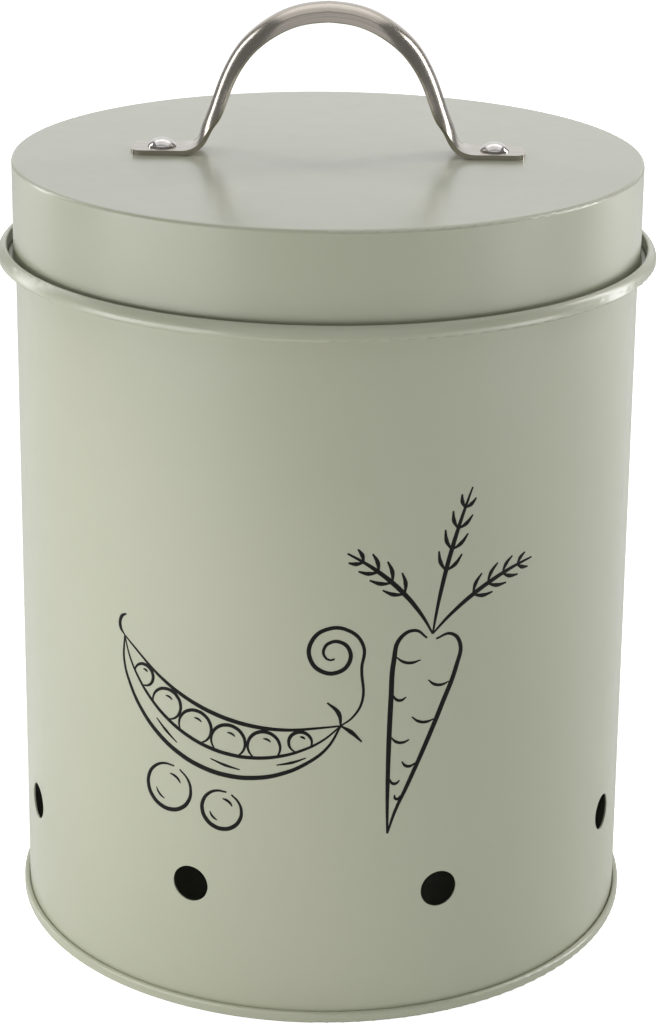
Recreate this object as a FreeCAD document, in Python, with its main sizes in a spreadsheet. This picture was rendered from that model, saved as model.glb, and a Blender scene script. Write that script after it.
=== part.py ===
"""Round produce tin: vented sheet-steel body with a seamed base, and a lift-off lid with a riveted strap handle.

Millimetres. The origin is at the centre of the base, on the surface that the tin stands on; +Z is up and the
front is towards -Y.
"""
import FreeCAD
import Part
import Sketcher
import math
import os
from FreeCAD import Placement, Rotation, Vector

DRIVING_SIZES = (
    ("wall_radius", 81.65, "outer face of the rolled body wall"),
    ("body_sheet", 0.4, "sheet of the body shell"),
    ("seat_height", 180.05, "seat that the lid stands on, above the floor"),
    ("mouth_bend", 0.3, "inside radius of the two bends at the seat"),
    ("rim_rise", 4.0, "top of the rim above the seat"),
    ("rim_depth", 3.55, "height of the band that hangs outside the rim"),
    ("rim_width", 2.45, "rim's inner face to the widest part of its band"),
    ("rim_fold", 0.1, "inside radius of the fold along the top of the rim"),
    ("rim_foot", 0.65, "rounding where the foot of the band turns in"),
    ("lid_play", 0.1, "room between the lid's flange and the bend at the foot of the rim"),
    ("vent_diameter", 9.6, "air holes round the foot of the wall"),
    ("vent_height", 34.5, "centres of the air holes above the floor"),
    ("vent_count", 8, "air holes in the ring"),
    ("lap_width", 3.4, "welded overlap down the back of the wall"),
    ("lap_rise", 0.25, "how far the overlap stands proud"),
    ("base_sheet", 0.5, "sheet of the base"),
    ("panel_height", 5.0, "underside of the recessed base panel above the floor"),
    ("panel_bend", 0.5, "inside radius where the panel turns down"),
    ("seam_height", 2.8, "double seam round the foot"),
    ("seam_gap", 0.05, "room between the seam's layers"),
    ("seam_bend", 0.6, "outer corners of the seam"),
    ("hook_room", 0.2, "room beyond the end of each of the seam's two hooks"),
    ("lid_overhang", 0.55, "outer face of the lid's skirt beyond the wall's face"),
    ("lid_sheet", 0.5, "sheet of the lid"),
    ("lid_height", 26.35, "top of the lid above the seat"),
    ("lid_edge", 0.9, "rounding round the lid's top"),
    ("flange_width", 1.25, "lid's flange beyond its skirt"),
    ("flange_bend", 0.4, "inside radius where the lid's skirt turns out into its flange"),
    ("strap_sheet", 1.3, "plate of the handle strap"),
    ("strap_width", 12.5, "width of the handle strap"),
    ("foot_margin", 7.9, "end of each foot beyond the middle of its rivet"),
    ("foot_corner", 3.0, "rounded corners of the feet"),
    ("foot_bend", 5.0, "radius where a leg turns out into its foot"),
    ("arch_radius", 29.7, "crown of the handle's arch"),
    ("arch_centre", 10.2, "centre of the arch above the lid"),
    ("leg_splay", 20.0, "lean of the legs from upright, in degrees"),
    ("crown_depth", 4.35, "depth of the pressed channel at the top of the arch"),
    ("leg_depth", 3.3, "depth of the pressed channel at the top of a leg"),
    ("head_room", 1.25, "flat strap between a foot bend and its rivet's head"),
    ("shank_diameter", 4.0, "rivet shank"),
    ("shank_play", 0.1, "room round a rivet's shank"),
    ("head_diameter", 7.5, "domed rivet head"),
    ("head_height", 2.2, "domed rivet head"),
    ("head_edge", 0.35, "upright edge under the dome"),
    ("tail_diameter", 6.2, "clinched rivet tail inside the lid"),
    ("tail_height", 1.2, "clinched rivet tail"),
    ("tail_edge", 0.4, "rounding of the clinched tail"),
    ("washer_diameter", 10.0, "backing washer inside the lid"),
    ("washer_sheet", 0.8, "backing washer"),
)

# Heights and radii that more than one piece shares, worked out from the driving sizes.
WALL = "size.wall_radius"
WALL_INSIDE = f"({WALL} - size.body_sheet)"
SEAT = "size.seat_height"
LID_TOP = f"({SEAT} + size.lid_height)"
LID_OUTSIDE = f"({WALL} + size.lid_overhang)"
LID_INSIDE = f"({LID_OUTSIDE} - size.lid_sheet)"
FLANGE_EDGE = f"({LID_OUTSIDE} + size.flange_width)"
RIM_INSIDE = f"({FLANGE_EDGE} + size.lid_play + size.mouth_bend)"
COVER_HOOK = f"({WALL} + size.seam_gap)"
BODY_HOOK = f"({COVER_HOOK} + size.base_sheet + size.seam_gap)"
SEAM_SKIRT = f"({BODY_HOOK} + size.body_sheet + size.seam_gap)"
HOOK_FLOOR = "(size.base_sheet + size.seam_gap)"
HOOK_ROOF = "(size.seam_height - size.base_sheet)"

# The line of the handle on the right: from the arch down a leg and round its bend to the foot and the rivet.
TURN = "(90 - size.leg_splay)"
LEG_TOP_X = f"(size.arch_radius * sin({TURN}))"
LEG_TOP_Z = f"(size.arch_centre + size.arch_radius * cos({TURN}))"
BEND_DROP = f"(size.foot_bend * (1 - cos({TURN})))"
LEG_LENGTH = f"(({LEG_TOP_Z} - size.strap_sheet - {BEND_DROP}) / sin({TURN}))"
BEND_LENGTH = f"(size.foot_bend * {TURN} * pi / 180)"
BEND_END_X = f"({LEG_TOP_X} + {LEG_LENGTH} * cos({TURN}) + size.foot_bend * sin({TURN}))"
RIVET_X = f"({BEND_END_X} + size.head_room + size.head_diameter / 2)"
FOOT_END = f"({RIVET_X} + size.foot_margin)"
RIVET_HOLE = "(size.shank_diameter / 2 + size.shank_play)"

LEFT_TURN = 1
RIGHT_TURN = -1
SMALLEST = 1e-7

doc = FreeCAD.newDocument("produce_tin")
size = doc.addObject("Spreadsheet::Sheet", "size")
for row, (alias, number, meaning) in enumerate(DRIVING_SIZES, start=1):
    size.set(f"A{row}", alias)
    size.set(f"B{row}", str(number))
    size.set(f"C{row}", meaning)
    size.setAlias(f"B{row}", alias)
doc.recompute()


def value(text):
    """The number that an expression of the sheet's sizes comes to."""
    return float(size.evalExpression(text.replace("size.", "")))


def new_body(label):
    body = doc.addObject("PartDesign::Body", label)
    body.Label = label
    return body


def origin_feature(body, role):
    return next(feature for feature in body.Origin.OriginFeatures if feature.Role == role)


def new_sketch(body, name, plane):
    sketch = body.newObject("Sketcher::SketchObject", name)
    sketch.AttachmentSupport = [(origin_feature(body, plane), "")]
    sketch.MapMode = "FlatFace"
    return sketch


def bind(sketch, kind, places, text):
    """Adds a dimension to a sketch and binds it to an expression."""
    index = sketch.addConstraint(Sketcher.Constraint(kind, *places, value(text)))
    sketch.setExpression(f"Constraints[{index}]", text)


def pin_point(sketch, edge, end, across, up):
    """Holds the end of an edge at a place given by two expressions."""
    for kind, axis, text in (("DistanceX", -2, across), ("DistanceY", -1, up)):
        if abs(value(text)) < SMALLEST:
            sketch.addConstraint(Sketcher.Constraint("PointOnObject", edge, end, axis))
        else:
            bind(sketch, kind, (-1, 1, edge, end), text)


def arc_between(start, stop, radius, turn):
    """The shorter arc of a radius from one point to another, turning left or right on the way."""
    chord = stop - start
    across = Vector(-chord.y, chord.x, 0).normalize()
    rise = math.sqrt(max(radius ** 2 - (chord.Length / 2) ** 2, 0.0))
    centre = (start + stop) / 2 + across * rise * turn
    first, last = (start, stop) if turn == LEFT_TURN else (stop, start)
    from_angle = math.atan2(first.y - centre.y, first.x - centre.x)
    to_angle = math.atan2(last.y - centre.y, last.x - centre.x)
    if to_angle < from_angle:
        to_angle += 2 * math.pi
    return Part.ArcOfCircle(Part.Circle(centre, Vector(0, 0, 1), radius), from_angle, to_angle)


def outline(body, name, plane, corners):
    """A closed, fully held outline.

    Each corner is (across, up) for a straight edge that ends there, or (across, up, radius, turn) for an arc.
    """
    sketch = new_sketch(body, name, plane)
    points = [Vector(value(corner[0]), value(corner[1]), 0) for corner in corners]
    ends = []
    for index, corner in enumerate(corners):
        start, stop = points[index - 1], points[index]
        if len(corner) == 2:
            sketch.addGeometry(Part.LineSegment(start, stop))
            ends.append((1, 2))
        else:
            sketch.addGeometry(arc_between(start, stop, value(corner[2]), corner[3]))
            ends.append((1, 2) if corner[3] == LEFT_TURN else (2, 1))
    for index, corner in enumerate(corners):
        following = (index + 1) % len(corners)
        sketch.addConstraint(
            Sketcher.Constraint("Coincident", index, ends[index][1], following, ends[following][0]))
        pin_point(sketch, index, ends[index][1], corner[0], corner[1])
        if len(corner) > 2:
            bind(sketch, "Radius", (index,), corner[2])
    return sketch


def circles(body, name, plane, rows):
    """A sketch of whole circles, each row (across, up, radius)."""
    sketch = new_sketch(body, name, plane)
    for index, (across, up, radius) in enumerate(rows):
        centre = Vector(value(across), value(up), 0)
        sketch.addGeometry(Part.Circle(centre, Vector(0, 0, 1), value(radius)))
        pin_point(sketch, index, 3, across, up)
        bind(sketch, "Radius", (index,), radius)
    return sketch


def revolve(body, name, profile):
    turned = body.newObject("PartDesign::Revolution", name)
    turned.Profile = profile
    turned.ReferenceAxis = (profile, ["V_Axis"])
    turned.Angle = 360
    return turned


def body_shell():
    """Rolled wall, hooked out at the foot for the seam and stepped out at the mouth to a seat and a rim.

    The rim is folded outwards along its top and hangs down outside as a bulged band with a turned-in foot.
    """
    body = new_body("body_shell")
    sheet = "size.body_sheet"
    inner_bend = "size.mouth_bend"
    outer_bend = f"(size.mouth_bend + {sheet})"
    rim_top = f"({SEAT} + size.rim_rise)"
    rim_outside = f"({RIM_INSIDE} + size.rim_width)"
    fold = f"(size.rim_fold + {sheet})"
    fold_x = f"({RIM_INSIDE} + {fold})"
    fold_z = f"({rim_top} - {fold})"
    band_foot = f"({rim_top} - size.rim_depth)"
    band_bend = f"({band_foot} + size.rim_foot)"
    band_spread = f"(size.rim_width - 2 * {fold})"
    band_fall = f"({fold_z} - {band_bend})"
    band_bulge = f"(({band_spread} ^ 2 + {band_fall} ^ 2) / (2 * {band_spread}) + {fold})"
    fold_end_x = f"(({band_fall} ^ 2 - {band_spread} ^ 2) / ({band_fall} ^ 2 + {band_spread} ^ 2))"
    fold_end_z = f"(2 * {band_spread} * {band_fall} / ({band_fall} ^ 2 + {band_spread} ^ 2))"
    hook_outside = f"({BODY_HOOK} + {sheet})"
    hook_top = f"({HOOK_ROOF} - size.hook_room)"
    profile = outline(body, "shell_profile", "XZ_Plane", (
        (hook_outside, hook_top),
        (hook_outside, f"{HOOK_FLOOR} + {sheet}"),
        (f"{hook_outside} - {sheet}", HOOK_FLOOR, sheet, RIGHT_TURN),
        (WALL, HOOK_FLOOR),
        (WALL_INSIDE, f"{HOOK_FLOOR} + {sheet}", sheet, RIGHT_TURN),
        (WALL_INSIDE, f"{SEAT} - {outer_bend}"),
        (f"{WALL_INSIDE} + {outer_bend}", SEAT, outer_bend, RIGHT_TURN),
        (f"{RIM_INSIDE} - {inner_bend}", SEAT),
        (RIM_INSIDE, f"{SEAT} + {inner_bend}", inner_bend, LEFT_TURN),
        (RIM_INSIDE, fold_z),
        (fold_x, rim_top, fold, RIGHT_TURN),
        (f"{fold_x} + {fold} * {fold_end_x}", f"{fold_z} + {fold} * {fold_end_z}", fold, RIGHT_TURN),
        (rim_outside, band_bend, band_bulge, RIGHT_TURN),
        (f"{rim_outside} - size.rim_foot", band_foot, "size.rim_foot", RIGHT_TURN),
        (f"{rim_outside} - size.rim_foot", f"{band_foot} + {sheet}"),
        (f"{rim_outside} - {sheet}", band_bend, f"size.rim_foot - {sheet}", LEFT_TURN),
        (f"{fold_x} + size.rim_fold * {fold_end_x}", f"{fold_z} + size.rim_fold * {fold_end_z}",
         f"{band_bulge} - {sheet}", LEFT_TURN),
        (fold_x, f"{fold_z} + size.rim_fold", "size.rim_fold", LEFT_TURN),
        (f"{RIM_INSIDE} + {sheet}", fold_z, "size.rim_fold", LEFT_TURN),
        (f"{RIM_INSIDE} + {sheet}", f"{SEAT} + {inner_bend}"),
        (f"{RIM_INSIDE} - {inner_bend}", f"{SEAT} - {sheet}", outer_bend, RIGHT_TURN),
        (f"{WALL} + {inner_bend}", f"{SEAT} - {sheet}"),
        (WALL, f"{SEAT} - {outer_bend}", inner_bend, LEFT_TURN),
        (WALL, f"{HOOK_FLOOR} + {sheet}"),
        (BODY_HOOK, f"{HOOK_FLOOR} + {sheet}"),
        (BODY_HOOK, hook_top),
    ))
    revolve(body, "shell", profile)

    lap_root = f"({WALL} - {sheet} / 2)"
    lap_face = f"({WALL} + size.lap_rise)"
    lap_foot = "(size.seam_height + size.seam_bend)"
    lap_top = f"({SEAT} - 2 * {outer_bend})"
    lap_profile = outline(body, "lap_profile", "YZ_Plane", (
        (lap_root, lap_foot),
        (lap_face, lap_foot),
        (lap_face, lap_top),
        (lap_root, lap_top),
    ))
    lap = revolve(body, "side_lap", lap_profile)
    lap.Midplane = True
    lap.setExpression("Angle", f"size.lap_width / {WALL} * 180 / pi")

    vent_sketch = circles(body, "vent_circle", "XZ_Plane", (("0", "size.vent_height", "size.vent_diameter / 2"),))
    vent_sketch.AttachmentOffset = Placement(Vector(), Rotation(Vector(0, 1, 0), 0))
    vent_sketch.setExpression("AttachmentOffset.Rotation.Angle", "180 / size.vent_count")
    vent = body.newObject("PartDesign::Pocket", "vent")
    vent.Profile = vent_sketch
    vent.Type = "ThroughAll"
    vents = body.newObject("PartDesign::PolarPattern", "vents")
    vents.Originals = [vent]
    vents.Axis = (origin_feature(body, "Z_Axis"), [""])
    vents.Angle = 360
    vents.setExpression("Occurrences", "size.vent_count")
    body.Tip = vents
    return body


def base_pan():
    """Recessed base, whose edge is folded up round the body's hook and down behind it as a double seam."""
    body = new_body("base_pan")
    sheet = "size.base_sheet"
    inner_bend = "size.panel_bend"
    outer_bend = f"({inner_bend} + {sheet})"
    corner = "size.seam_bend"
    chuck_outside = f"({WALL_INSIDE} - size.seam_gap)"
    chuck_inside = f"({chuck_outside} - {sheet})"
    panel_top = f"(size.panel_height + {sheet})"
    skirt_outside = f"({SEAM_SKIRT} + {sheet})"
    hook_tip = f"({HOOK_FLOOR} + size.body_sheet + size.hook_room)"
    hook_outside = f"({COVER_HOOK} + {sheet})"
    profile = outline(body, "base_profile", "XZ_Plane", (
        ("0", panel_top),
        (f"{chuck_outside} - {outer_bend}", panel_top),
        (chuck_outside, f"{panel_top} - {outer_bend}", outer_bend, RIGHT_TURN),
        (chuck_outside, sheet),
        (SEAM_SKIRT, sheet),
        (SEAM_SKIRT, HOOK_ROOF),
        (hook_outside, HOOK_ROOF),
        (hook_outside, hook_tip),
        (COVER_HOOK, hook_tip),
        (COVER_HOOK, HOOK_ROOF),
        (hook_outside, "size.seam_height", sheet, RIGHT_TURN),
        (f"{skirt_outside} - {corner}", "size.seam_height"),
        (skirt_outside, f"size.seam_height - {corner}", corner, RIGHT_TURN),
        (skirt_outside, corner),
        (f"{skirt_outside} - {corner}", "0", corner, RIGHT_TURN),
        (f"{chuck_inside} + {corner}", "0"),
        (chuck_inside, corner, corner, RIGHT_TURN),
        (chuck_inside, f"size.panel_height - {inner_bend}"),
        (f"{chuck_inside} - {inner_bend}", "size.panel_height", inner_bend, LEFT_TURN),
        ("0", "size.panel_height"),
    ))
    revolve(body, "base", profile)
    return body


def lid_pan():
    """Drawn lid with a rounded edge and a flange that stands on the seat, drilled for the handle's rivets."""
    body = new_body("lid_pan")
    sheet = "size.lid_sheet"
    inner_bend = "size.flange_bend"
    outer_bend = f"({inner_bend} + {sheet})"
    bend_top = f"({SEAT} + {outer_bend})"
    edge_start = f"({LID_OUTSIDE} - size.lid_edge)"
    edge_foot = f"({LID_TOP} - size.lid_edge)"
    profile = outline(body, "lid_profile", "XZ_Plane", (
        ("0", LID_TOP),
        (edge_start, LID_TOP),
        (LID_OUTSIDE, edge_foot, "size.lid_edge", RIGHT_TURN),
        (LID_OUTSIDE, bend_top),
        (f"{LID_OUTSIDE} + {inner_bend}", f"{SEAT} + {sheet}", inner_bend, LEFT_TURN),
        (FLANGE_EDGE, f"{SEAT} + {sheet}"),
        (FLANGE_EDGE, SEAT),
        (f"{LID_INSIDE} + {outer_bend}", SEAT),
        (LID_INSIDE, bend_top, outer_bend, RIGHT_TURN),
        (LID_INSIDE, edge_foot),
        (edge_start, f"{LID_TOP} - {sheet}", f"size.lid_edge - {sheet}", LEFT_TURN),
        ("0", f"{LID_TOP} - {sheet}"),
    ))
    revolve(body, "pan", profile)
    holes_sketch = circles(body, "rivet_circles", "XY_Plane", (
        (f"-{RIVET_X}", "0", RIVET_HOLE),
        (RIVET_X, "0", RIVET_HOLE),
    ))
    holes_sketch.setExpression("AttachmentOffset.Base.z", LID_TOP)
    holes = body.newObject("PartDesign::Pocket", "rivet_holes")
    holes.Profile = holes_sketch
    holes.setExpression("Length", f"2 * {sheet}")
    return body


def handle_strap():
    """Pressed strap: an arched channel that flattens down its legs into two drilled feet."""
    body = new_body("handle_strap")
    body.setExpression("Placement.Base.z", LID_TOP)
    plate = "size.strap_sheet"
    half_width = "(size.strap_width / 2)"
    taper_length = f"({LEG_LENGTH} + {BEND_LENGTH})"

    def tapered(run):
        """Channel depth at a run down the leg, which reaches nothing where the foot begins."""
        return f"(size.leg_depth * (1 - ({run} / {taper_length}) ^ 3) ^ 2)"

    arch_steps = 5
    leg_steps = 3
    bend_steps = 6
    stations = []
    for step in range(arch_steps + 1):
        angle = f"({TURN} * {step / arch_steps})"
        depth = f"(size.crown_depth - (size.crown_depth - size.leg_depth) * {(step / arch_steps) ** 2})"
        across = f"size.arch_radius * sin({angle})"
        up = f"size.arch_centre + size.arch_radius * cos({angle})"
        stations.append((across, up, angle, depth))
    for step in range(1, leg_steps + 1):
        run = f"({LEG_LENGTH} * {step / leg_steps})"
        across = f"{LEG_TOP_X} + {run} * cos({TURN})"
        up = f"{LEG_TOP_Z} - {run} * sin({TURN})"
        stations.append((across, up, TURN, tapered(run)))
    for step in range(1, bend_steps):
        angle = f"({TURN} * {1 - step / bend_steps})"
        run = f"({LEG_LENGTH} + {BEND_LENGTH} * {step / bend_steps})"
        across = f"{BEND_END_X} - size.foot_bend * sin({angle})"
        up = f"{plate} + size.foot_bend * (1 - cos({angle}))"
        stations.append((across, up, angle, tapered(run)))

    sections = []
    for index, (across, up, angle, depth) in enumerate(stations):
        crown = f"(({half_width} ^ 2 + {depth} ^ 2) / (2 * {depth}))"
        inside = f"({crown} - {plate})"
        lip_x = f"({half_width} * {inside} / {crown})"
        lip_z = f"({inside} * ({crown} - {depth}) / {crown} - {crown})"
        sketch = outline(body, f"channel_{index}", "YZ_Plane", (
            (f"-{half_width}", f"-{depth}"),
            (half_width, f"-{depth}", crown, RIGHT_TURN),
            (lip_x, lip_z),
            (f"-{lip_x}", lip_z, inside, LEFT_TURN),
        ))
        sketch.AttachmentOffset = Placement(Vector(), Rotation(Vector(1, 0, 0), 0))
        sketch.setExpression("AttachmentOffset.Base.y", up)
        sketch.setExpression("AttachmentOffset.Base.z", across)
        sketch.setExpression("AttachmentOffset.Rotation.Angle", angle)
        sections.append(sketch)
    flat_end = outline(body, "channel_flat", "YZ_Plane", (
        (f"-{half_width}", plate),
        (half_width, plate),
        (half_width, "0"),
        (f"-{half_width}", "0"),
    ))
    flat_end.setExpression("AttachmentOffset.Base.z", BEND_END_X)
    sections.append(flat_end)

    channel = body.newObject("PartDesign::AdditiveLoft", "channel")
    channel.Profile = sections[0]
    channel.Sections = sections[1:]

    foot_square = f"({half_width} - size.foot_corner)"
    foot_side = f"({FOOT_END} - size.foot_corner)"
    foot_sketch = outline(body, "foot_outline", "XY_Plane", (
        (BEND_END_X, f"-{half_width}"),
        (foot_side, f"-{half_width}"),
        (FOOT_END, f"-{foot_square}", "size.foot_corner", LEFT_TURN),
        (FOOT_END, foot_square),
        (foot_side, half_width, "size.foot_corner", LEFT_TURN),
        (BEND_END_X, half_width),
    ))
    foot = body.newObject("PartDesign::Pad", "foot")
    foot.Profile = foot_sketch
    foot.setExpression("Length", plate)
    hole_sketch = circles(body, "foot_circle", "XY_Plane", ((RIVET_X, "0", RIVET_HOLE),))
    hole = body.newObject("PartDesign::Pocket", "foot_hole")
    hole.Profile = hole_sketch
    hole.Midplane = True
    hole.setExpression("Length", f"3 * {plate}")
    pair = body.newObject("PartDesign::Mirrored", "both_sides")
    pair.Originals = [channel, foot, hole]
    pair.MirrorPlane = (origin_feature(body, "YZ_Plane"), [""])
    body.Tip = pair
    return body


def rivet(label, side):
    """Solid rivet: domed head on the strap's foot, shank through foot, lid and washer, tail clinched below."""
    body = new_body(label)
    body.setExpression("Placement.Base.x", f"{side} * {RIVET_X}")
    body.setExpression("Placement.Base.z", LID_TOP)
    shank = "(size.shank_diameter / 2)"
    head = "(size.head_diameter / 2)"
    head_seat = "size.strap_sheet"
    dome = "(size.head_height - size.head_edge)"
    dome_radius = f"(({head} ^ 2 + {dome} ^ 2) / (2 * {dome}))"
    tail = "(size.tail_diameter / 2)"
    tail_top = "(-size.lid_sheet - size.washer_sheet)"
    tail_end = f"({tail_top} - size.tail_height)"
    profile = outline(body, f"{label}_profile", "XZ_Plane", (
        ("0", tail_end),
        (f"{tail} - size.tail_edge", tail_end),
        (tail, f"{tail_end} + size.tail_edge", "size.tail_edge", LEFT_TURN),
        (tail, tail_top),
        (shank, tail_top),
        (shank, head_seat),
        (head, head_seat),
        (head, f"{head_seat} + size.head_edge"),
        ("0", f"{head_seat} + size.head_height", dome_radius, LEFT_TURN),
    ))
    revolve(body, f"{label}_solid", profile)
    return body


def washer(label, side):
    """Flat backing washer under the lid, held by the rivet's tail."""
    body = new_body(label)
    body.setExpression("Placement.Base.x", f"{side} * {RIVET_X}")
    body.setExpression("Placement.Base.z", f"{LID_TOP} - size.lid_sheet - size.washer_sheet")
    ring = circles(body, f"{label}_ring", "XY_Plane", (
        ("0", "0", "size.washer_diameter / 2"),
        ("0", "0", RIVET_HOLE),
    ))
    plate = body.newObject("PartDesign::Pad", f"{label}_plate")
    plate.Profile = ring
    plate.setExpression("Length", "size.washer_sheet")
    return body


nodes = [
    body_shell(),
    base_pan(),
    lid_pan(),
    handle_strap(),
    rivet("rivet_left", -1),
    rivet("rivet_right", 1),
    washer("washer_left", -1),
    washer("washer_right", 1),
]
doc.recompute()

for item in doc.Objects:
    if "Invalid" in item.State or "Error" in item.State:
        raise RuntimeError(f"{item.Label} did not build: {item.State}")
for node in nodes:
    if node.Shape.isNull() or not node.Shape.isValid() or len(node.Shape.Solids) != 1:
        raise RuntimeError(f"{node.Label} is not one valid solid")

os.makedirs("parts", exist_ok=True)
for node in nodes:
    node.Shape.exportStep(f"parts/{node.Label}.step")
    box = node.Shape.BoundBox
    print(f"{node.Label}: {node.Shape.Volume:.1f} mm3, x {box.XMin:.2f} to {box.XMax:.2f}, "
          f"y {box.YMin:.2f} to {box.YMax:.2f}, z {box.ZMin:.2f} to {box.ZMax:.2f}")
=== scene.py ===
"""Studio view of a round produce tin: sage enamel, black line print, stainless handle, on a white floor."""
import bpy
import math
from mathutils import Matrix, Vector


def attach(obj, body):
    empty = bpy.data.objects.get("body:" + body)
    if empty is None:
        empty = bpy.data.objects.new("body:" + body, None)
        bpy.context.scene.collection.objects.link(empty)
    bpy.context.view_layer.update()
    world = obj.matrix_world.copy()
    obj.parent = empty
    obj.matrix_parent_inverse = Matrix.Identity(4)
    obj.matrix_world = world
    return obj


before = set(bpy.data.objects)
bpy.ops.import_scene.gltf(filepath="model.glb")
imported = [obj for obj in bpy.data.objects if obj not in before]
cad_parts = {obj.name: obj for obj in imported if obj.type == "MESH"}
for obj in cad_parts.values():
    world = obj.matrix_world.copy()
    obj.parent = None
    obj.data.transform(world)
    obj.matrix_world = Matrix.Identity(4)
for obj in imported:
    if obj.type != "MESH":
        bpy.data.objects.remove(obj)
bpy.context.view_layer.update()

# Body shell: sheet steel rolled into a drum and welded down the back, with air holes punched round its
# foot, its mouth stepped out to a seat and folded over into a rim. It is sprayed inside and out with satin
# sage enamel and baked, which leaves a faint orange peel and the slightest clouding in the colour.
SAGE = (0.428, 0.442, 0.327, 1)
SAGE_CLOUD = (0.418, 0.432, 0.319, 1)
ENAMEL_SPECULAR = 0.5
SKIN_ROUGHNESS = 0.25
CLOUDS_PER_METRE = 18
SHEEN_SPOTS_PER_METRE = 140
PEEL_SPOTS_PER_METRE = 900
PEEL_HEIGHT = 0.000001
DARK_SPOT, LIGHT_SPOT = 0.3, 0.7
DARK_COLOUR_SPOT, LIGHT_COLOUR_SPOT = 0.35, 0.65


def link(owner, source, target):
    """Joins an output to an input among the nodes of a material or the room."""
    owner.node_tree.links.new(source, target)


def noise(material, place, spots, detail):
    """Cloud pattern with about that many spots to the metre."""
    pattern = material.node_tree.nodes.new("ShaderNodeTexNoise")
    pattern.inputs["Scale"].default_value = spots
    pattern.inputs["Detail"].default_value = detail
    link(material, place, pattern.inputs["Vector"])
    return pattern.outputs["Fac"]


def between(material, pattern, low, high):
    """Number that runs from low to high as a pattern goes from its dark to its light places."""
    spread = material.node_tree.nodes.new("ShaderNodeMapRange")
    spread.inputs["From Min"].default_value = DARK_SPOT
    spread.inputs["From Max"].default_value = LIGHT_SPOT
    spread.inputs["To Min"].default_value = low
    spread.inputs["To Max"].default_value = high
    link(material, pattern, spread.inputs["Value"])
    return spread.outputs["Result"]


def relief(material, pattern, height):
    """Surface relief of a height in metres."""
    bump = material.node_tree.nodes.new("ShaderNodeBump")
    bump.inputs["Strength"].default_value = 1.0
    bump.inputs["Distance"].default_value = height
    link(material, pattern, bump.inputs["Height"])
    return bump.outputs["Normal"]


def blend_of(material, pattern, dark, light):
    """Colour that goes from dark to light with a pattern."""
    ramp = material.node_tree.nodes.new("ShaderNodeValToRGB")
    first, last = ramp.color_ramp.elements
    first.position = DARK_COLOUR_SPOT
    first.color = dark
    last.position = LIGHT_COLOUR_SPOT
    last.color = light
    link(material, pattern, ramp.inputs["Fac"])
    return ramp.outputs["Color"]


def new_material(name):
    material = bpy.data.materials.new(name)
    material.use_nodes = True
    shader = material.node_tree.nodes["Principled BSDF"]
    place = material.node_tree.nodes.new("ShaderNodeTexCoord").outputs["Object"]
    return material, shader, place


def enamel(name, smoothest, roughest):
    """Baked satin enamel: clouded colour, uneven gloss and orange peel under a clear skin."""
    material, shader, place = new_material(name)
    shader.inputs["Specular IOR Level"].default_value = ENAMEL_SPECULAR
    shader.inputs["Coat Weight"].default_value = 1.0
    shader.inputs["Coat Roughness"].default_value = SKIN_ROUGHNESS
    clouds = noise(material, place, CLOUDS_PER_METRE, detail=3)
    sheen = noise(material, place, SHEEN_SPOTS_PER_METRE, detail=2)
    peel = noise(material, place, PEEL_SPOTS_PER_METRE, detail=0)
    link(material, blend_of(material, clouds, SAGE_CLOUD, SAGE), shader.inputs["Base Color"])
    link(material, between(material, sheen, smoothest, roughest), shader.inputs["Roughness"])
    link(material, relief(material, peel, PEEL_HEIGHT), shader.inputs["Normal"])
    return material


def finish_node(node, material):
    """Puts one material all over a carried-over piece."""
    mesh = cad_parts[node].data
    mesh.materials.clear()
    mesh.materials.append(material)


finish_node("body_shell", enamel("body_enamel", smoothest=0.47, roughest=0.53))

# Print: a pea pod, two loose peas and a carrot, screen-printed in black ink on the front of the drum.
# Each pen line is a curve that swells in its middle, made a mesh, pressed into a thin film of ink and
# wrapped round the wall. Places and sizes in the drawing are in millimetres along the wall and up it.
MM = 0.001
WALL_RADIUS = 81.65 * MM
PEN_RADIUS = 0.66 * MM
PEN_LIFTED = 0.4
INK_FLATNESS = 0.12
ARC_STEP = 30
pen = bpy.data.curves.new("print", "CURVE")
pen.dimensions = "3D"
pen.bevel_depth = PEN_RADIUS
pen.bevel_resolution = 2
pen.resolution_u = 6
pen.use_fill_caps = True


def stroke(points, weight):
    """Pen line through points, its weight a share of the whole pen, thinner at its ends."""
    line = pen.splines.new("BEZIER")
    line.bezier_points.add(len(points) - 1)
    for index, (along, up) in enumerate(points):
        pressed = math.sin(math.pi * index / (len(points) - 1))
        knot = line.bezier_points[index]
        knot.handle_left_type = "AUTO"
        knot.handle_right_type = "AUTO"
        knot.co = (along * MM, 0, up * MM)
        knot.radius = weight * (PEN_LIFTED + (1 - PEN_LIFTED) * pressed)


def round_from(centre, reach, degrees):
    """Point at a reach from a centre, turned anticlockwise from the right."""
    angle = math.radians(degrees)
    return centre[0] + reach * math.cos(angle), centre[1] + reach * math.sin(angle)


def arc(centre, radius, start, stop, weight):
    """Pen line round part of a circle, between two angles in degrees."""
    steps = max(3, round(abs(stop - start) / ARC_STEP))
    points = [round_from(centre, radius, start + (stop - start) * step / steps) for step in range(steps + 1)]
    stroke(points, weight)


POD_MIDDLE = (-16, 112)
POD_BEND = 38
POD_START, POD_STOP = 202, 306
POD_HALF_WIDTH = 8.5
POD_BLUNTNESS = 0.7
POD_BACK_LIP = -0.8
POD_FRONT_LIP = 0.30
POD_STEPS = 12


def pod_turn(share):
    return POD_START + (POD_STOP - POD_START) * share


def pod_swell(share):
    return POD_HALF_WIDTH * math.sin(math.pi * share) ** POD_BLUNTNESS


def pod_place(share, side):
    """Point at a share of the pod's length; side is -1 at its upper edge and 1 at its lower one."""
    return round_from(POD_MIDDLE, POD_BEND + side * pod_swell(share), pod_turn(share))


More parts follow.
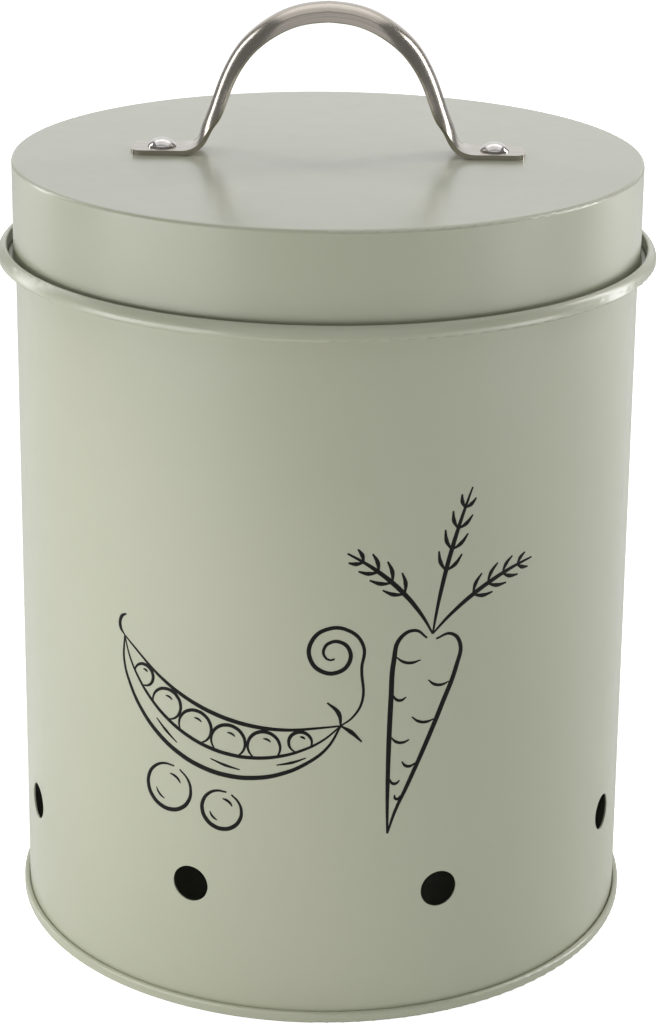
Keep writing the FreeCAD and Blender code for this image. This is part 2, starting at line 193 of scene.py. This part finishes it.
for edge, weight in ((POD_BACK_LIP, 0.9), (POD_FRONT_LIP, 0.8), (1.0, 1.0)):
    stroke([pod_place(step / POD_STEPS, edge) for step in range(POD_STEPS + 1)], weight)

PEAS = 6
FIRST_PEA, LAST_PEA = 0.16, 0.84
PEA_SIDE = -0.1
PEA_SHARE_OF_POD = 0.56
LARGEST_PEA = 4.4
for number in range(PEAS):
    share = FIRST_PEA + (LAST_PEA - FIRST_PEA) * number / (PEAS - 1)
    pea_radius = min(PEA_SHARE_OF_POD * pod_swell(share), LARGEST_PEA)
    centre = pod_place(share, PEA_SIDE)
    hidden = math.degrees(math.acos((POD_FRONT_LIP - PEA_SIDE) * pod_swell(share) / pea_radius))
    outwards = pod_turn(share)
    arc(centre, pea_radius, outwards + hidden, outwards + 360 - hidden, weight=0.75)
    arc(centre, 0.55 * pea_radius, 40, 95, weight=0.5)

CREASE_STARTS = (0.30, 0.52, 0.74)
CREASE_SIDE = 0.62
CREASE_ALONG, CREASE_OUT = 0.05, 0.06
for start in CREASE_STARTS:
    crease = [pod_place(start + CREASE_ALONG * step, CREASE_SIDE + CREASE_OUT * step) for step in range(3)]
    stroke(crease, weight=0.6)
stroke([pod_place(0, 0), (-52.6, 99.5), (-52.2, 102.5), (-50.6, 103.6)], weight=0.8)

stem = pod_place(1, 0)


def from_stem(along, up):
    return stem[0] + along, stem[1] + up


stroke([stem, from_stem(-0.6, 3.4), from_stem(-3.4, 6.2)], weight=0.9)
stroke([stem, from_stem(2.4, -1.6), from_stem(5.2, -4.4)], weight=0.9)

TENDRIL_STEPS = 16
TENDRIL_START, TENDRIL_TURN = -30, 45
TENDRIL_REACH = 8.0
tendril_middle = from_stem(-2.0, 19)
tendril = [stem, from_stem(3.0, 2.4), from_stem(5.2, 6.6)]
for step in range(TENDRIL_STEPS):
    reach = TENDRIL_REACH * (1 - step / (TENDRIL_STEPS + 2))
    tendril.append(round_from(tendril_middle, reach, TENDRIL_START + TENDRIL_TURN * step))
stroke(tendril, weight=0.85)

LOOSE_PEAS = (((-38, 60), 6.2), ((-23.5, 56.5), 5.2))
for centre, radius in LOOSE_PEAS:
    arc(centre, radius, 75, 420, weight=0.9)
    arc(centre, 0.6 * radius, 25, 85, weight=0.6)
    arc(centre, 0.62 * radius, 195, 250, weight=0.5)

CARROT_CROWN = (29, 104)
CARROT_LEAN = math.radians(12)
CARROT_LENGTH = 52
CARROT_HALF_WIDTH = 9.2
CARROT_FULLNESS = 1.25
CARROT_TIP = (0.4, CARROT_LENGTH + 1.5)


def carrot_place(across, down):
    """Point on the leaning carrot, measured across and down from its crown."""
    along = CARROT_CROWN[0] + across * math.cos(CARROT_LEAN) - down * math.sin(CARROT_LEAN)
    up = CARROT_CROWN[1] - across * math.sin(CARROT_LEAN) - down * math.cos(CARROT_LEAN)
    return along, up


def carrot_half(down):
    return CARROT_HALF_WIDTH * (1 - (down / CARROT_LENGTH) ** CARROT_FULLNESS)


shoulder = [(1.2, 1.2), (4.8, -0.4), (8.0, 2.0)]
flank = [(carrot_half(down), down) for down in (8, 18, 29, 40, 47.5)]
for side in (-1, 1):
    outline = [carrot_place(side * across, down) for across, down in shoulder + flank]
    stroke(outline + [carrot_place(*CARROT_TIP)], weight=1.0)

WRINKLES = ((7, -1, 6.4), (12, 1, 5.6), (17, -1, 3.4), (22, 1, 6.0),
            (28, -1, 4.8), (34, 1, 3.6), (39, -1, 2.6), (43, 1, 1.6))
WRINKLE_INSET = 0.5
WRINKLE_SAG = 0.5
WRINKLE_STEPS = 3
for down, side, reach in WRINKLES:
    wrinkle = []
    for step in range(WRINKLE_STEPS + 1):
        across = carrot_half(down) - WRINKLE_INSET - reach * step / WRINKLE_STEPS
        sag = WRINKLE_SAG * step * (WRINKLE_STEPS - step)
        wrinkle.append(carrot_place(side * across, down + sag))
    stroke(wrinkle, weight=0.65)

FRONDS = ((-38, 31, -18), (-4, 38, 7), (30, 32, 20))
SPINE_STEPS = 7
BARE_STEPS = 3
LEAFLET_REACH = 5.8
LEAFLET_STEPS = 2
LEAFLET_SPREAD, LEAFLET_CURL = 56, 11
for lean, length, curl in FRONDS:
    spine = []
    for step in range(SPINE_STEPS + 1):
        share = step / SPINE_STEPS
        angle = math.radians(lean + curl * share)
        spine.append((length * share * math.sin(angle), -length * share * math.cos(angle)))
    stroke([carrot_place(*place) for place in spine], weight=0.95)
    for step in range(BARE_STEPS, SPINE_STEPS):
        heading = math.radians(lean + 2 * curl * step / SPINE_STEPS)
        reach = LEAFLET_REACH * math.sin(math.pi * (step + 1) / (SPINE_STEPS + 2))
        for side in (-1, 1):
            leaflet = []
            for part in range(LEAFLET_STEPS + 1):
                swing = heading + side * math.radians(LEAFLET_SPREAD - LEAFLET_CURL * part)
                gone = reach * part / LEAFLET_STEPS
                leaflet.append((spine[step][0] + gone * math.sin(swing),
                                spine[step][1] - gone * math.cos(swing)))
            stroke([carrot_place(*place) for place in leaflet], weight=0.85)

drawing = bpy.data.objects.new("print", pen)
bpy.context.scene.collection.objects.link(drawing)
bpy.ops.object.select_all(action="DESELECT")
bpy.context.view_layer.objects.active = drawing
drawing.select_set(True)
bpy.ops.object.convert(target="MESH")
drawing = bpy.context.object
for corner in drawing.data.vertices:
    along, depth, up = corner.co
    out = WALL_RADIUS - depth * INK_FLATNESS
    turn = along / WALL_RADIUS
    corner.co = (out * math.sin(turn), -out * math.cos(turn), up)
bpy.ops.object.shade_smooth()

INK_THICK = (0.004, 0.004, 0.004, 1)
INK_THIN = (0.008, 0.008, 0.007, 1)
INK_SPECULAR = 0.15
INK_SMOOTHEST, INK_ROUGHEST = 0.42, 0.58
INK_SPOTS_PER_METRE = 1500
ink, ink_shader, ink_place = new_material("black_ink")
ink_cover = noise(ink, ink_place, INK_SPOTS_PER_METRE, detail=2)
ink_shader.inputs["Specular IOR Level"].default_value = INK_SPECULAR
link(ink, blend_of(ink, ink_cover, INK_THICK, INK_THIN), ink_shader.inputs["Base Color"])
link(ink, between(ink, ink_cover, INK_SMOOTHEST, INK_ROUGHEST), ink_shader.inputs["Roughness"])
drawing.data.materials.append(ink)
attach(drawing, "tin")

# Base: a drawn steel disc, recessed inside a ring, whose edge is folded together with the body's foot into
# a double seam. It has the same enamel, sprayed before seaming and left a little duller by the seaming rolls.
finish_node("base_pan", enamel("base_enamel", smoothest=0.49, roughest=0.55))

# Lid: one drawn steel pan with a tight rounded edge and a flange that stands on the seat inside the rim.
# It is enamelled in its own batch, which came out slightly glossier than the body's.
finish_node("lid_pan", enamel("lid_enamel", smoothest=0.45, roughest=0.51))

# Handle: a stainless strap, pressed into a channel along its arch and flattened into a foot at each end.
# The steel is brushed along its length, so fine scratches run round the arch.
STEEL = (0.48, 0.44, 0.39, 1)
STEEL_SCRATCH = (0.40, 0.365, 0.32, 1)
ALONG_THE_ARCH = (40, 4000, 40)
SCRATCH_HEIGHT = 0.000002


def stretched(material, place, grain):
    """Place on a piece, for a pattern with its own number of spots to the metre along each axis."""
    mapping = material.node_tree.nodes.new("ShaderNodeMapping")
    mapping.inputs["Scale"].default_value = grain
    link(material, place, mapping.inputs["Vector"])
    return mapping.outputs["Vector"]


def steel(name, dark, light, smoothest, roughest, grain, height):
    """Stainless steel with scratches of a height that run the way its grain is drawn out."""
    material, shader, place = new_material(name)
    shader.inputs["Metallic"].default_value = 1.0
    scratches = noise(material, stretched(material, place, grain), 1.0, detail=2)
    link(material, blend_of(material, scratches, dark, light), shader.inputs["Base Color"])
    link(material, between(material, scratches, roughest, smoothest), shader.inputs["Roughness"])
    link(material, relief(material, scratches, height), shader.inputs["Normal"])
    return material


handle_steel = steel("brushed_steel", STEEL_SCRATCH, STEEL, smoothest=0.15, roughest=0.25,
                     grain=ALONG_THE_ARCH, height=SCRATCH_HEIGHT)
finish_node("handle_strap", handle_steel)

# Rivets: two solid stainless rivets, their domed heads left bright by the setting die.
# Each passes through a foot, the lid and a washer, and is clinched below.
BRIGHT_STEEL = (0.64, 0.62, 0.60, 1)
BRIGHT_STEEL_WORN = (0.56, 0.54, 0.52, 1)
ALL_WAYS = (700, 700, 700)
rivet_steel = steel("rivet_steel", BRIGHT_STEEL_WORN, BRIGHT_STEEL, smoothest=0.10, roughest=0.18,
                    grain=ALL_WAYS, height=SCRATCH_HEIGHT)
finish_node("rivet_left", rivet_steel)
finish_node("rivet_right", rivet_steel)

# Washers: plain stamped steel rings under the lid that spread the pull of the rivets over the thin sheet.
# Tumbled after stamping, so they are dull and a little pitted.
DULL_STEEL = (0.60, 0.60, 0.60, 1)
DULL_STEEL_WORN = (0.52, 0.52, 0.52, 1)
TUMBLED_HEIGHT = 0.000006
washer_steel = steel("washer_steel", DULL_STEEL_WORN, DULL_STEEL, smoothest=0.34, roughest=0.46,
                     grain=ALL_WAYS, height=TUMBLED_HEIGHT)
finish_node("washer_left", washer_steel)
finish_node("washer_right", washer_steel)

# Floor: a wide sheet of white paper that the tin stands on. A glow brings it to white where it is seen
# directly, a little of that glow also shows in reflections, and the paper keeps the tin's shadow.
FLOOR_SIZE = 8.0
FLOOR_DROP = 0.0003
FLOOR_WHITE = 0.88
GLOW_SEEN = 0.92
GLOW_MIRRORED = 0.1


def combine(owner, operation, first, second):
    """Result of a sum, by its name, on two values that are each a number or a node's output."""
    node = owner.node_tree.nodes.new("ShaderNodeMath")
    node.operation = operation
    for socket, value in enumerate((first, second)):
        if isinstance(value, float):
            node.inputs[socket].default_value = value
        else:
            link(owner, value, node.inputs[socket])
    return node.outputs["Value"]


bpy.ops.mesh.primitive_plane_add(size=FLOOR_SIZE, location=(0, 0, -FLOOR_DROP))
floor = bpy.context.object
floor.name = "floor"
floor_sheet = bpy.data.materials.new("floor_sheet")
floor_sheet.use_nodes = True
floor_nodes = floor_sheet.node_tree.nodes
floor_nodes.clear()
paper = floor_nodes.new("ShaderNodeBsdfDiffuse")
paper.inputs["Color"].default_value = (FLOOR_WHITE, FLOOR_WHITE, FLOOR_WHITE, 1)
glow = floor_nodes.new("ShaderNodeEmission")
seen = floor_nodes.new("ShaderNodeLightPath").outputs
reflected = combine(floor_sheet, "MAXIMUM", seen["Is Glossy Ray"], seen["Is Transmission Ray"])
mirrored = combine(floor_sheet, "MULTIPLY", reflected, GLOW_MIRRORED)
straight = combine(floor_sheet, "MULTIPLY", seen["Is Camera Ray"], GLOW_SEEN)
link(floor_sheet, combine(floor_sheet, "MAXIMUM", mirrored, straight), glow.inputs["Strength"])
both = floor_nodes.new("ShaderNodeAddShader")
surface = floor_nodes.new("ShaderNodeOutputMaterial")
link(floor_sheet, paper.outputs["BSDF"], both.inputs[0])
link(floor_sheet, glow.outputs["Emission"], both.inputs[1])
link(floor_sheet, both.outputs["Shader"], surface.inputs["Surface"])
floor.data.materials.append(floor_sheet)

# Studio: low soft boxes round the tin's front, a tall strip at each side behind it, two wide ones above it
# and a small one that lights the floor. Each box is a width and a height in metres, with a power in watts.
AIM = (0, 0, 0.12)
BOX_AWAY = 1.2
LOW_UP = 0.13
LOW_BOX = (0.5, 0.28)
TALL_UP = 0.45
TALL_BOX = (0.25, 1.2)
TOP_AT = (0, 0.4, 1.5)
TOP_BOX = (1.8, 1.3)
TOP_FRONT_AT = (0, -0.9, 1.2)
TOP_FRONT_BOX = (1.8, 1.4)
FLOOR_BOX_AT = (-0.3, -0.3, 0.19)
FLOOR_BOX_AIM = (-0.3, -0.3, 0)
FLOOR_BOX = (0.4, 0.5)


def soft_box(name, place, aim, size, power):
    lamp = bpy.data.lights.new(name, "AREA")
    lamp.shape = "RECTANGLE"
    lamp.size, lamp.size_y = size
    lamp.energy = power
    box = bpy.data.objects.new(name, lamp)
    box.location = place
    box.rotation_euler = (Vector(aim) - Vector(place)).to_track_quat("-Z", "Y").to_euler()
    bpy.context.scene.collection.objects.link(box)


def side_box(name, turn, up, size, power):
    """Soft box round the tin, turned in degrees from the camera's side towards the right."""
    angle = math.radians(turn)
    soft_box(name, (BOX_AWAY * math.sin(angle), -BOX_AWAY * math.cos(angle), up), AIM, size, power)


side_box("left_front_box", -45, LOW_UP, LOW_BOX, power=2.1)
side_box("left_box", -70, LOW_UP, LOW_BOX, power=2.9)
side_box("right_front_box", 45, LOW_UP, LOW_BOX, power=0.7)
side_box("right_box", 70, LOW_UP, LOW_BOX, power=2.5)
side_box("left_rear_box", -118, TALL_UP, TALL_BOX, power=4.4)
side_box("right_rear_box", 118, TALL_UP, TALL_BOX, power=7.4)
soft_box("top_box", TOP_AT, AIM, TOP_BOX, power=5.7)
soft_box("top_front_box", TOP_FRONT_AT, AIM, TOP_FRONT_BOX, power=3.7)
soft_box("floor_box", FLOOR_BOX_AT, FLOOR_BOX_AIM, FLOOR_BOX, power=0.7)

# Room: plain white where it is seen directly. In reflections it is grey, with a white sheet that hangs
# behind the tin and fades out all round its edge. It also adds a little light from every side.
ROOM_AMBIENT = 0.15
ROOM_DIM = 0.22
ROOM_BRIGHT = 1.0
SHEET_STARTS, SHEET_WHITE = 0.1, 0.6
SHEET_WHITE_ASIDE, SHEET_ENDS_ASIDE = 0.35, 0.65
room = bpy.data.worlds.new("room")
bpy.context.scene.world = room
room.use_nodes = True
room_nodes = room.node_tree.nodes
room_light = room_nodes["Background"]
room_light.inputs["Color"].default_value = (1, 1, 1, 1)
room_seen = room_nodes.new("ShaderNodeLightPath").outputs
room_place = room_nodes.new("ShaderNodeTexCoord").outputs["Generated"]
towards = room_nodes.new("ShaderNodeSeparateXYZ")
link(room, room_place, towards.inputs["Vector"])


def fade(value, start, stop, low, high):
    """Number that goes softly from low to high while a value goes from start to stop."""
    spread = room_nodes.new("ShaderNodeMapRange")
    spread.interpolation_type = "SMOOTHSTEP"
    for socket, number in (("From Min", start), ("From Max", stop), ("To Min", low), ("To Max", high)):
        spread.inputs[socket].default_value = number
    link(room, value, spread.inputs["Value"])
    return spread.outputs["Result"]


aside = combine(room, "ABSOLUTE", towards.outputs["X"], 0.0)
behind = fade(towards.outputs["Y"], SHEET_STARTS, SHEET_WHITE, 0, 1)
in_the_middle = fade(aside, SHEET_WHITE_ASIDE, SHEET_ENDS_ASIDE, 1, 0)
white_sheet = combine(room, "MULTIPLY", behind, in_the_middle)
room_bright = fade(white_sheet, 0, 1, ROOM_DIM, ROOM_BRIGHT)
room_mirrored = combine(room, "MULTIPLY", room_seen["Is Glossy Ray"], room_bright)
room_straight = combine(room, "MAXIMUM", room_seen["Is Camera Ray"], room_seen["Is Transmission Ray"])
room_shown = combine(room, "MAXIMUM", room_mirrored, room_straight)
link(room, combine(room, "MAXIMUM", room_shown, ROOM_AMBIENT), room_light.inputs["Strength"])

# Camera: a long lens a little above the lid, turned slightly round the tin and tipped down, framed low on
# its sensor. Its place and lens were fitted to the tin's outlines in the photograph.
CAMERA_AWAY = 0.67526
CAMERA_UP = 0.35730
CAMERA_TURN = math.radians(1.3)
CAMERA_PAN = math.radians(-0.058)
CAMERA_TILT = math.radians(16.214)
CAMERA_ROLL = math.radians(0.564)
LENS_LENGTH = 93.02
LENS_SHIFT = -0.1875
lens = bpy.data.cameras.new("camera")
lens.lens = LENS_LENGTH
lens.shift_y = LENS_SHIFT
camera = bpy.data.objects.new("camera", lens)
stand = (CAMERA_AWAY * math.sin(CAMERA_TURN), -CAMERA_AWAY * math.cos(CAMERA_TURN), CAMERA_UP)
turned = Matrix.Rotation(CAMERA_TURN + CAMERA_PAN, 4, "Z")
tipped = Matrix.Rotation(math.radians(90) - CAMERA_TILT, 4, "X")
rolled = Matrix.Rotation(CAMERA_ROLL, 4, "Z")
camera.matrix_world = Matrix.Translation(stand) @ turned @ tipped @ rolled
bpy.context.scene.collection.objects.link(camera)
bpy.context.scene.camera = camera
bpy.context.scene.view_settings.view_transform = "Standard"
